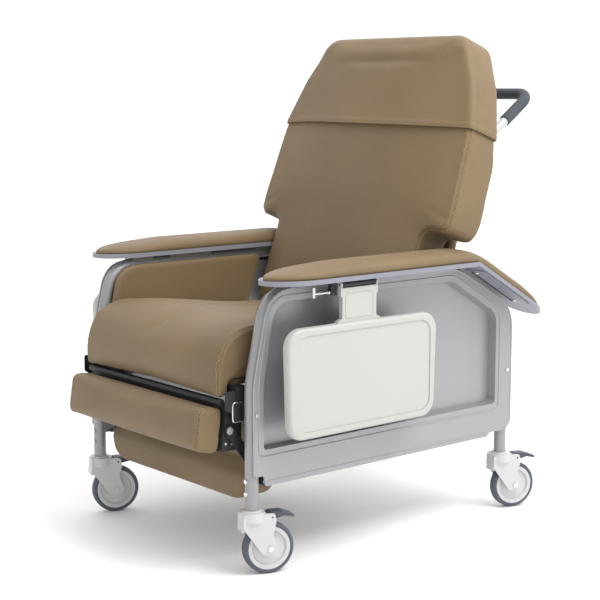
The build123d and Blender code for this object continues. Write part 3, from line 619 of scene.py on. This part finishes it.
reshape(cover, cover_loose)
p = coords(cover)
q = to_chair(p)
up, deep = back_frame_of(*q.T)
middle = np.clip(1 - ((q[:, 0] - 60) / 300) ** 2, 0, 1)
sag = 6.5 * middle * np.exp(-(up - HEM_UP) / 60) * np.clip(1 - deep / 60, 0, 1)
q = q - np.outer(sag, (0, sin(LEAN), cos(LEAN)))
set_coords(cover, to_world(q))
shell = cover.modifiers.new("shell", "SOLIDIFY")
shell.thickness = 0.0026
shell.offset = 1.0
applied(cover)

seam(back, back_edge, depth=2.4, width=3.2, puff=0.9, pucker=0.2, closed=True)
soft(back, "backrest", "back_cushion", fill=0.8)
soft(cover, "backrest", "headrest_cover", fill=0.5)
below_hem = np.array([back_frame_of(*r)[0] < HEM_UP for r in to_chair(back_edge)])
hidden_at = int(np.argmin(below_hem))
visible_edge = np.roll(back_edge, -hidden_at, 0)[np.roll(below_hem, -hidden_at)]

# ---------------------------------------------------------------- foot bar and calf pad
def counter_clockwise(loop):
    return loop if np.cross(loop[1] - loop[0], loop[9] - loop[1]) > 0 else loop[::-1]


BAR_CORNERS = [(-126, 305), (-60, 290), (-46, 397), (-111, 403)]
BAR_LOOP = counter_clockwise(spaced(rounded(BAR_CORNERS, [18, 16, 16, 18]), 5.0))
bar = lofted("foot_bar_vinyl", BAR_LOOP, -BAR_HALF + 2, BAR_HALF - 2, 8, 8, across)
remeshed(bar, 0.005)
bar_edges = [to_world(across(BAR_LOOP[:, 0], BAR_LOOP[:, 1], np.full(len(BAR_LOOP), side * (BAR_HALF - 6.0))))
             for side in (-1, 1)]
held = np.minimum.reduce([near(e, coords(bar)) for e in bar_edges])
plump(bar, 4.0, 12, held)
smoothed(bar, 2)
subdivided(bar)
for edge in bar_edges:
    seam(bar, edge, depth=1.8, width=2.8, puff=0.9, pucker=0.3, closed=True)
soft(bar, "foot_bar", "foot_bar_pad", fill=0.85)

# Strip on top of the channel behind the foot bar
STRIP_CORNERS = [(-59, 405), (-43, 407), (-43, 419), (-57, 418)]
STRIP_LOOP = counter_clockwise(spaced(rounded(STRIP_CORNERS, [2, 2, 4, 4]), 2.5))
strip = lofted("foot_bar_top_strip", STRIP_LOOP, -BAR_HALF, BAR_HALF, 2, 2, across)
strip.data.materials.append(MATERIALS["black_steel"])
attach(strip, "foot_bar")

CALF_HALF, CALF_LOW, CALF_HIGH = 290, 159, 373
CALF_CORNER = 64
CALF_REAR, CALF_SKIRT = 104.0, 10.6
CALF_LOOP = spaced(rounded([(-CALF_HALF, CALF_LOW), (CALF_HALF, CALF_LOW), (CALF_HALF, CALF_HIGH),
                            (-CALF_HALF, CALF_HIGH)], [CALF_CORNER, CALF_CORNER, 10, 10]), 6.0)


def facing_front(a, b, w):
    return np.stack([a, w, b], axis=1)


def round_three_sides(half, low, high):
    """Line down one side of the calf pad, along its foot and up the other side."""
    corners = [(-half, high), (-half, low), (half, low), (half, high)]
    return spaced(rounded(corners, [4, CALF_CORNER, CALF_CORNER, 4])[8:-8], 6.0, closed=False)


def calf_skirt(mesh):
    """Padding that wraps back round the board's edge, from one top corner to the other."""
    line = round_three_sides(CALF_HALF, CALF_LOW, 335)
    ahead = np.gradient(line, axis=0)
    ahead /= np.linalg.norm(ahead, axis=1, keepdims=True)
    inward = np.stack([-ahead[:, 1], ahead[:, 0]], axis=1)
    rings = []
    for k, (at, side) in enumerate(zip(line, inward)):
        reach = 50 + (CALF_REAR - 50) * min(1.0, (min(k, len(line) - 1 - k) + 2) / 7)
        ring = []
        for across_mm, deep in ((0.5, 50), (0.5, reach - 4), (3, reach), (CALF_SKIRT - 3, reach),
                                (CALF_SKIRT, reach - 4), (CALF_SKIRT, 50)):
            x, z = at + side * across_mm
            ring.append(mesh.verts.new(to_world([(x, deep, z)])[0]))
        rings.append(ring)
    for a, b in zip(rings, rings[1:]):
        for i in range(6):
            mesh.faces.new((a[i], a[(i + 1) % 6], b[(i + 1) % 6], b[i]))
    mesh.faces.new(rings[0][::-1])
    mesh.faces.new(rings[-1])


calf = lofted("calf_pad_vinyl", CALF_LOOP, 10, 65, 13, 4, facing_front)
calf_mesh = bmesh.new()
calf_mesh.from_mesh(calf.data)
calf_skirt(calf_mesh)
bmesh.ops.recalc_face_normals(calf_mesh, faces=calf_mesh.faces)
calf_mesh.to_mesh(calf.data)
calf_mesh.free()
remeshed(calf, 0.006)
p = to_chair(coords(calf))
rise = np.clip((p[:, 2] - 215) / 55, 0, 1)
p[:, 1] += 24 * rise * rise * (3 - 2 * rise) * np.clip((62 - p[:, 1]) / 44, 0, 1)
set_coords(calf, to_world(p))
edge_line = round_three_sides(CALF_HALF - 3, CALF_LOW + 3, CALF_HIGH - 1)
calf_edge = to_world(facing_front(edge_line[:, 0], edge_line[:, 1], np.full(len(edge_line), 30.0)))
here = to_chair(coords(calf))
fixed = np.where((here[:, 1] > 62) | (here[:, 2] > 285), 0.0, 99.0)
held = np.minimum(near(calf_edge, coords(calf)), fixed)
plump(calf, 3.0, 8, held)
smoothed(calf, 2)
subdivided(calf)
seam(calf, calf_edge, depth=1.6, width=2.8, puff=0.6, pucker=0.3)
soft(calf, "leg_rest", "calf_pad", fill=0.7)

# ---------------------------------------------------------------- inner side pads
for label, side in (("left", 1), ("right", -1)):
    corners = [(10, 463), (20, 520), (49, 667), (530, 667), (474, 505), (474, 463)]
    loop = spaced(rounded(corners, [8, 200, 70, 16, 40, 8]), 6.0)[::-1]
    w_in, w_out = sorted((side * 295.0, side * 312.0))
    pad = lofted(f"inner_side_pad_{label}_vinyl", loop, w_in, w_out, 6, 6, across)
    remeshed(pad, 0.006)
    smoothed(pad, 2)
    reshape(pad, lambda x, y, z, s=side: np.where(s * x < 300, 1.5, 0.0) * bell(z, 560, 90))
    soft(pad, "base", f"inner_side_pad_{label}", fill=0.7)

# ---------------------------------------------------------------- armrest pads
ARM_MID, ARM_BEND_AT, ARM_BASE_TOP, ARM_SLOPE = 357.0, 664.0, 697.2, radians(30.0)
ARM_NOSE, ARM_TAIL, ARM_HALF, ARM_HIGH = 20.0, 930.0, 62.0, 31.0
BASE_EASE, CROWN_EASE = 21.4, 52.0
UNDERSIDE_Z = 686.0


def arm_half(s):
    """Half width of the pad, s mm behind the front stems."""
    nose = np.clip((s - ARM_NOSE) / 118, 0, 1)
    tail = np.clip((ARM_TAIL - s) / 66, 0, 1)
    return ARM_HALF * (1 - (1 - nose) ** 2.1) ** 0.62 * (1 - (1 - tail) ** 2.4) ** 0.5


def arm_drop(s, reach):
    """How far the armrest has dropped s mm behind the front stems, its bend eased over reach."""
    past = s - ARM_BEND_AT
    if past <= -reach:
        return 0.0
    if past >= reach:
        return past * np.tan(ARM_SLOPE)
    return (past + reach) ** 2 / (4 * reach) * np.tan(ARM_SLOPE)


def arm_pad(label, side):
    mesh = bmesh.new()
    stations = np.concatenate([ARM_NOSE + 150 * np.linspace(0.012, 1, 34) ** 1.7, np.linspace(176, 850, 110),
                               ARM_TAIL - 78 * np.linspace(1, 0.02, 24) ** 1.6])
    turns = np.linspace(0, 2 * pi, 48, endpoint=False)
    rings = []
    for s in stations:
        half = float(arm_half(s))
        tip = min(1.0, (s - ARM_NOSE) / 210) ** 0.42
        rear = min(1.0, (ARM_TAIL - s) / 90) ** 0.38
        high = ARM_HIGH * (0.10 + 0.90 * tip) * rear
        ring = []
        for t in turns:
            c, v = cos(t), sin(t)
            across_x = half * np.sign(c) * abs(c) ** 0.72
            lift = high * abs(v) ** 0.62 if v > 0 else 0.0
            edge = 1 - (abs(across_x) / max(half, 1)) ** 6
            ring.append((across_x, lift if v > 0 else 0.25 * edge, s))
        rings.append(ring)
    verts = []
    for ring in rings:
        row = []
        for across_x, lift, s in ring:
            low, high = arm_drop(s, BASE_EASE), arm_drop(s, CROWN_EASE)
            drop = low + (high - low) * min(1.0, max(lift, 0.0) / 24)
            place = (side * ARM_MID + side * across_x, s, ARM_BASE_TOP + lift - drop)
            row.append(mesh.verts.new(to_world([place])[0]))
        verts.append(row)
    for a, b in zip(verts, verts[1:]):
        for i in range(len(a)):
            mesh.faces.new((a[i], a[(i + 1) % len(a)], b[(i + 1) % len(a)], b[i]))
    mesh.faces.new(verts[0][::-1])
    mesh.faces.new(verts[-1])
    bmesh.ops.recalc_face_normals(mesh, faces=mesh.faces)
    pad = from_bmesh(f"armrest_pad_{label}_vinyl", mesh)
    soft(pad, "base", f"armrest_pad_{label}", fill=0.75)
    return pad


arm_pads = {label: arm_pad(label, side) for label, side in (("left", 1), ("right", -1))}

# ---------------------------------------------------------------- small hard details
def swept(mesh, path, radius, closed=False, sides=8):
    """Round rod along a path in metres."""
    ahead = np.roll(path, -1, 0) - np.roll(path, 1, 0) if closed else np.gradient(path, axis=0)
    ahead /= np.linalg.norm(ahead, axis=1, keepdims=True)
    guide = np.array([0.0, 0.0, 1.0]) if abs(ahead[:, 2]).max() < 0.9 else np.array([1.0, 0.0, 0.0])
    first = np.cross(ahead, guide)
    first /= np.linalg.norm(first, axis=1, keepdims=True)
    second = np.cross(ahead, first)
    turns = np.linspace(0, 2 * pi, sides, endpoint=False)
    rings = [[mesh.verts.new(p + radius * (cos(t) * a + sin(t) * b)) for t in turns]
             for p, a, b in zip(path, first, second)]
    for a, b in zip(rings, rings[1:] + (rings[:1] if closed else [])):
        for i in range(sides):
            mesh.faces.new((a[i], a[(i + 1) % sides], b[(i + 1) % sides], b[i]))
    if not closed:
        mesh.faces.new(rings[0][::-1])
        mesh.faces.new(rings[-1])


def screw(mesh, at, axis, radius=0.0042, high=0.0022):
    """Domed screw head with a cross-drive recess; at is in metres."""
    axis = Vector(axis).normalized()
    u = axis.orthogonal().normalized()
    v = axis.cross(u)
    rings = []
    for r, h in ((1.0, -0.4), (1.0, 0.25), (0.86, 0.68), (0.6, 0.92), (0.42, 1.0), (0.34, 0.55), (0.12, 0.4)):
        ring = []
        for k in range(16):
            t = 2 * pi * k / 16
            rr = r * (0.72 if r < 0.4 and k % 4 else 1.0)
            rim = (u * cos(t) + v * sin(t)) * (rr * radius)
            ring.append(mesh.verts.new(Vector(at) + axis * (h * high) + rim))
        rings.append(ring)
    for a, b in zip(rings, rings[1:]):
        for i in range(16):
            mesh.faces.new((a[i], a[(i + 1) % 16], b[(i + 1) % 16], b[i]))
    mesh.faces.new(rings[0][::-1])
    mesh.faces.new(rings[-1])


def finish_piece(name, mesh, slot, body):
    bmesh.ops.recalc_face_normals(mesh, faces=mesh.faces)
    obj = from_bmesh(name, mesh, MATERIALS[slot])
    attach(obj, body)
    return obj


def at_x(x, line):
    """Side-view line (behind the front stems, height) as a path in metres at x."""
    line = np.asarray(line, float)
    return to_world(np.column_stack([np.full(len(line), x), line]))


def black_plate(name, loop, side, faces_x, edge):
    """Thin plate on the base, between two distances from the chair's middle."""
    low, high = sorted(side * x for x in faces_x)
    plate = lofted(name, spaced(loop, 3.0), low, high, edge, edge, across)
    plate.data.materials.append(MATERIALS["black_steel"])
    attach(plate, "base")


# Pressed bead round the pan and rolled rim of each side panel
PANEL_X = 350.3
POST_X, POST_DEEP = 275.0, 138.0
BOOT_R, BOOT_LOW, BOOT_HIGH = 14.5, 34.0, 332.0
BEAD_LOOP = rounded([(6, 284), (6, 457), (43, 657), (643, 657), (823, 551), (823, 284)],
                    [16, 244, 62, 66, 56, 18])
SILL_LINE = spaced(np.array([(34.0, 224.0), (772.0, 224.0)]), 10.0, closed=False)
RIM_LINE = rounded([(-8, 240), (-8, 455), (40, 672), (659, 672), (869, 555), (869, 242), (850, 224)],
                   [3, 266, 82, 96, 102, 16, 4])
for label, side in (("left", 1), ("right", -1)):
    beads = bmesh.new()
    swept(beads, at_x(side * (PANEL_X - 0.4), spaced(BEAD_LOOP, 5.0)), 0.0024, closed=True)
    swept(beads, at_x(side * (PANEL_X - 1.4), spaced(RIM_LINE, 5.0, closed=False)), 0.0030)
    swept(beads, at_x(side * (PANEL_X - 0.6), SILL_LINE), 0.0022)
    finish_piece(f"side_panel_beads_{label}", beads, "side_panel_plastic", "base")

    # Bright-edged black stop plate beside each front leg, and the darker plate behind it
    stop_loop = rounded([(-37, 366), (-3, 366), (-3, 412), (-37, 412)], [8, 8, 8, 8])
    black_plate(f"link_stop_{label}", stop_loop, side, (305.8, 308.2), 0.6)
    backing_loop = rounded([(-58, 398), (-2, 366), (-2, 440), (-58, 440)], [6, 6, 6, 6])
    black_plate(f"link_backing_{label}", backing_loop, side, (304.7, 305.7), 0.3)
    edge = bmesh.new()
    swept(edge, at_x(side * 307, spaced(stop_loop, 3.0)), 0.0019, closed=True)
    finish_piece(f"link_stop_edge_{label}", edge, "bright_steel", "base")

    # Screws of the foot bar's end plates
    bar_screws = bmesh.new()
    for y_screw, z_screw in ((-46, 314), (-27, 312)):
        screw(bar_screws, to_world([(side * 291.6, y_screw, z_screw)])[0], (side, 0, 0), 0.0034, 0.0018)
    finish_piece(f"foot_bar_screws_{label}", bar_screws, "bright_steel", "foot_bar")

    # Slot and screws under the armrest's sloping rear
    slope = np.array([(end, UNDERSIDE_Z - arm_drop(end, BASE_EASE) - 4.6) for end in (694.0, 852.0)])
    slot_strip = bmesh.new()
    swept(slot_strip, at_x(side * 366, spaced(slope, 8.0, closed=False)), 0.0022)
    finish_piece(f"armrest_slot_{label}", slot_strip, "black_steel", "base")
    arm_screws = bmesh.new()
    for y_screw in (700.0, 846.0):
        place = to_world([(side * 378, y_screw, UNDERSIDE_Z - arm_drop(y_screw, BASE_EASE) - 4.2)])[0]
        screw(arm_screws, place, (0, -sin(ARM_SLOPE), -cos(ARM_SLOPE)), 0.0052, 0.003)
    finish_piece(f"armrest_screws_{label}", arm_screws, "bright_steel", "base")

    # Gathered vinyl boots over the lower posts of the back frame
    boots = bmesh.new()
    rings = []
    for up_mm in np.arange(BOOT_LOW, BOOT_HIGH, 3.0):
        x, y, z = on_back(np.array([side * POST_X]), np.array([up_mm]), np.array([POST_DEEP]))[0]
        ring = []
        for t in np.linspace(0, 2 * pi, 28, endpoint=False):
            r = BOOT_R + 0.28 * sin(up_mm / 4.1 + 1.6 * sin(2 * t)) * (0.5 + 0.5 * sin(up_mm / 37))
            place = (x + r * cos(t), y + r * sin(t) * cos(LEAN), z - r * sin(t) * sin(LEAN))
            ring.append(boots.verts.new(to_world([place])[0]))
        rings.append(ring)
    for a, b in zip(rings, rings[1:]):
        for i in range(28):
            boots.faces.new((a[i], a[(i + 1) % 28], b[(i + 1) % 28], b[i]))
    boots.faces.new(rings[0][::-1])
    boots.faces.new(rings[-1])
    finish_piece(f"post_boot_{label}", boots, "upholstery", "backrest")

# Raised border on each tray's neck
for label, side in (("left", 1), ("right", -1)):
    border = to_world([(side * 425.0, y, z) for y, z in spaced(rounded(
        [(219, 598), (307, 598), (307, 656), (219, 656)], [7, 7, 7, 7]), 3.0)])
    on, _ = snapped(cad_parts[f"flip_tray_{label}"], border, 3.0, closed=True)
    neck = bmesh.new()
    swept(neck, on, 0.0013, closed=True)
    finish_piece(f"tray_neck_border_{label}", neck, "tray_plastic", f"tray_{label}")

# ---------------------------------------------------------------- stitching
stitches("back_stitching", back, [visible_edge], "backrest", offsets=(-4.5, 4.5))
stitches("foot_bar_stitching", bar, bar_edges, "foot_bar", offsets=(-4.0, 4.0), closed=True)
stitches("calf_stitching", calf, [calf_edge], "leg_rest", offsets=(-4.0,))

# ---------------------------------------------------------------- floor, light, camera
FLOOR_PAPER = moulded("floor_paper", srgb(250, 250, 250), (0.7, 0.85), 300, 0.05, 0.006, 0.2)
floor_mesh = bmesh.new()
bmesh.ops.create_grid(floor_mesh, x_segments=24, y_segments=24, size=14.0)
floor = from_bmesh("floor", floor_mesh, FLOOR_PAPER)

scene = bpy.context.scene
scene.view_settings.view_transform = "Standard"
scene.view_settings.look = "None"
world = bpy.data.worlds.new("studio")
scene.world = world
world.use_nodes = True
sky = world.node_tree.nodes["Background"]
sky.inputs[0].default_value = (1.0, 1.0, 1.0, 1)
tree = world.node_tree
way = tree.nodes.new("ShaderNodeTexCoord")
parts = tree.nodes.new("ShaderNodeSeparateXYZ")
tree.links.new(way.outputs["Generated"], parts.inputs[0])
total = tree.nodes.new("ShaderNodeMath")
# Dimmer from in front of the chair, brighter from above
SKY_SPANS = (("Y", -0.85, 0.3, 0.42, 1.16), ("Z", 0.15, 0.9, 0.0, 0.6))
for number, (axis, low, high, dim, bright) in enumerate(SKY_SPANS):
    span = tree.nodes.new("ShaderNodeMapRange")
    for socket, value in (("From Min", low), ("From Max", high), ("To Min", dim), ("To Max", bright)):
        span.inputs[socket].default_value = value
    tree.links.new(parts.outputs[axis], span.inputs["Value"])
    tree.links.new(span.outputs[0], total.inputs[number])
# The horizon stays white all round
horizon = tree.nodes.new("ShaderNodeMapRange")
for socket, value in (("From Min", 0.12), ("From Max", 0.3), ("To Min", 1.04), ("To Max", 0.0)):
    horizon.inputs[socket].default_value = value
tree.links.new(parts.outputs["Z"], horizon.inputs["Value"])
strongest = tree.nodes.new("ShaderNodeMath")
strongest.operation = "MAXIMUM"
tree.links.new(total.outputs[0], strongest.inputs[0])
tree.links.new(horizon.outputs[0], strongest.inputs[1])
tree.links.new(strongest.outputs[0], sky.inputs[1])


def area_light(name, place, target, size, power):
    data = bpy.data.lights.new(name, "AREA")
    data.shape = "RECTANGLE"
    data.size, data.size_y = size
    data.energy = power
    obj = bpy.data.objects.new(name, data)
    obj.location = place
    obj.rotation_euler = (Vector(target) - Vector(place)).to_track_quat("-Z", "Y").to_euler()
    scene.collection.objects.link(obj)


area_light("key", (1.7, 0.5, 3.0), (0, 0, 0.7), (1.8, 1.8), 62)

lens = bpy.data.cameras.new("camera")
lens.lens = 86.47
lens.sensor_width = 36.0
camera = bpy.data.objects.new("camera", lens)
camera.location = (2.90298, -2.46047, 1.13481)
camera.rotation_euler = (radians(90 - 8.41), 0, radians(50.02))
scene.collection.objects.link(camera)
scene.camera = camera
